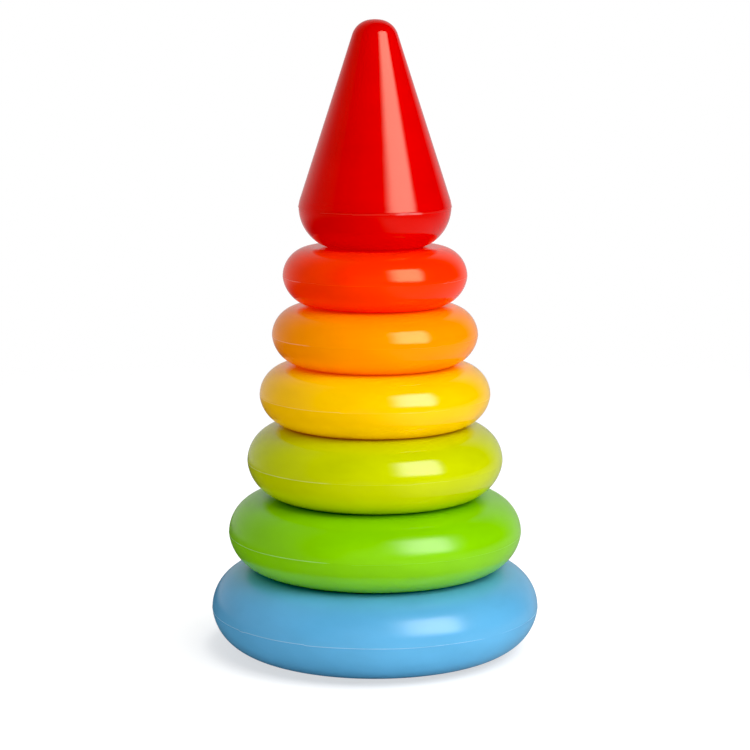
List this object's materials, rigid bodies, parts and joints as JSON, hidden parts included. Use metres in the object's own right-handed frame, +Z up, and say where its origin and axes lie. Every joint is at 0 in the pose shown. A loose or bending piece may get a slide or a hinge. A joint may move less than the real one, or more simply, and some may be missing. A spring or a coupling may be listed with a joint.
{
  "type": "stacking ring toy",
  "caption": "Ring stacking toy: hollow rounded rings that get smaller upwards and a tall cone drop over a post on a round base.",
  "frame": {"origin": "middle of the base's underside, on the surface that the toy stands on", "axes": "+Z up the post, the way the rings and the cone lift off; the toy is round, so X and Y point anywhere level"},
  "size_m": [0.132, 0.132, 0.2511],
  "materials": {
    "blue_plastic": "glossy moulded plastic",
    "white_plastic": "glossy moulded plastic",
    "green_plastic": "glossy moulded plastic",
    "lime_plastic": "glossy moulded plastic",
    "yellow_plastic": "glossy moulded plastic",
    "orange_plastic": "glossy moulded plastic",
    "scarlet_plastic": "glossy moulded plastic",
    "red_plastic": "glossy moulded plastic"
  },
  "bodies": {
    "base": {"base_lower_shell": "blue_plastic", "base_upper_shell": "blue_plastic", "post": "white_plastic"},
    "green_ring": {"green_ring_lower_shell": "green_plastic", "green_ring_upper_shell": "green_plastic"},
    "lime_ring": {"lime_ring_lower_shell": "lime_plastic", "lime_ring_upper_shell": "lime_plastic"},
    "yellow_ring": {"yellow_ring_lower_shell": "yellow_plastic", "yellow_ring_upper_shell": "yellow_plastic"},
    "orange_ring": {"orange_ring_lower_shell": "orange_plastic", "orange_ring_upper_shell": "orange_plastic"},
    "scarlet_ring": {"scarlet_ring_lower_shell": "scarlet_plastic", "scarlet_ring_upper_shell": "scarlet_plastic"},
    "cone": {"cone_lower_shell": "red_plastic", "cone_upper_shell": "red_plastic"}
  },
  "joints": [
    {"name": "green_ring_lift", "type": "slide", "parent": "base", "child": "green_ring", "axis": [0, 0, 1], "range_m": [0, 0.168]},
    {"name": "lime_ring_lift", "type": "slide", "parent": "green_ring", "child": "lime_ring", "axis": [0, 0, 1], "range_m": [0, 0.139]},
    {"name": "yellow_ring_lift", "type": "slide", "parent": "lime_ring", "child": "yellow_ring", "axis": [0, 0, 1], "range_m": [0, 0.11]},
    {"name": "orange_ring_lift", "type": "slide", "parent": "yellow_ring", "child": "orange_ring", "axis": [0, 0, 1], "range_m": [0, 0.086]},
    {"name": "scarlet_ring_lift", "type": "slide", "parent": "orange_ring", "child": "scarlet_ring", "axis": [0, 0, 1], "range_m": [0, 0.062]},
    {"name": "cone_lift", "type": "slide", "parent": "scarlet_ring", "child": "cone", "axis": [0, 0, 1], "range_m": [0, 0.038]}
  ]
}
